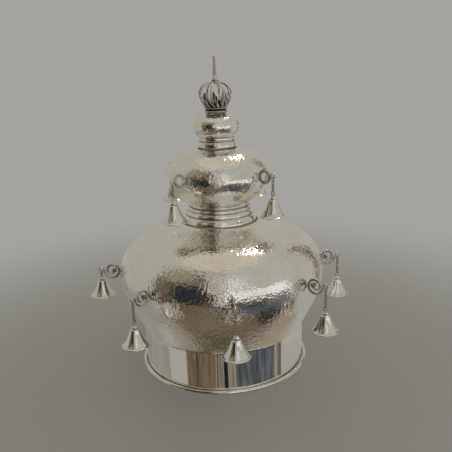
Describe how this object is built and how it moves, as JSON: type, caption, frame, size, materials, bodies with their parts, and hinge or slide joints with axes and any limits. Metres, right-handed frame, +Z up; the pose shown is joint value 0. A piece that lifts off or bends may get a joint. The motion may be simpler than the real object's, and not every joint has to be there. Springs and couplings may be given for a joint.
{
  "type": "torah crown",
  "caption": "Silver Torah crown: stacked hammered bulbs on a plain polished band, ringed collars, small openwork crown and spire on top, bells hung on scroll arms.",
  "frame": {"origin": "centre of the underside, in the plane the rim stands on", "axes": "+Z up along the crown's axis; -Y is the front, towards one of the lower arms"},
  "size_m": [0.2806, 0.2806, 0.3174],
  "materials": {
    "polished_silver": "polished",
    "hammered_silver": "polished",
    "cast_silver": "satin",
    "chain_silver": "satin",
    "bell_silver": "polished"
  },
  "bodies": {
    "root": {"base_rim": "polished_silver", "base_band": "polished_silver", "lower_collar": "polished_silver", "upper_collar": "polished_silver", "large_bulb": "hammered_silver", "middle_bulb": "hammered_silver", "small_bulb": "hammered_silver", "finial_crown": "cast_silver", "spire": "cast_silver", "lower_arm_1": "cast_silver", "lower_chain_1": "chain_silver", "lower_bell_1": "bell_silver", "lower_arm_2": "cast_silver", "lower_chain_2": "chain_silver", "lower_bell_2": "bell_silver", "lower_arm_3": "cast_silver", "lower_chain_3": "chain_silver", "lower_bell_3": "bell_silver", "lower_arm_4": "cast_silver", "lower_chain_4": "chain_silver", "lower_bell_4": "bell_silver", "lower_arm_5": "cast_silver", "lower_chain_5": "chain_silver", "lower_bell_5": "bell_silver", "lower_arm_6": "cast_silver", "lower_chain_6": "chain_silver", "lower_bell_6": "bell_silver", "lower_arm_7": "cast_silver", "lower_chain_7": "chain_silver", "lower_bell_7": "bell_silver", "lower_arm_8": "cast_silver", "lower_chain_8": "chain_silver", "lower_bell_8": "bell_silver", "upper_arm_1": "cast_silver", "upper_chain_1": "chain_silver", "upper_bell_1": "bell_silver", "upper_arm_2": "cast_silver", "upper_chain_2": "chain_silver", "upper_bell_2": "bell_silver", "upper_arm_3": "cast_silver", "upper_chain_3": "chain_silver", "upper_bell_3": "bell_silver", "upper_arm_4": "cast_silver", "upper_chain_4": "chain_silver", "upper_bell_4": "bell_silver"}
  },
  "joints": []
}
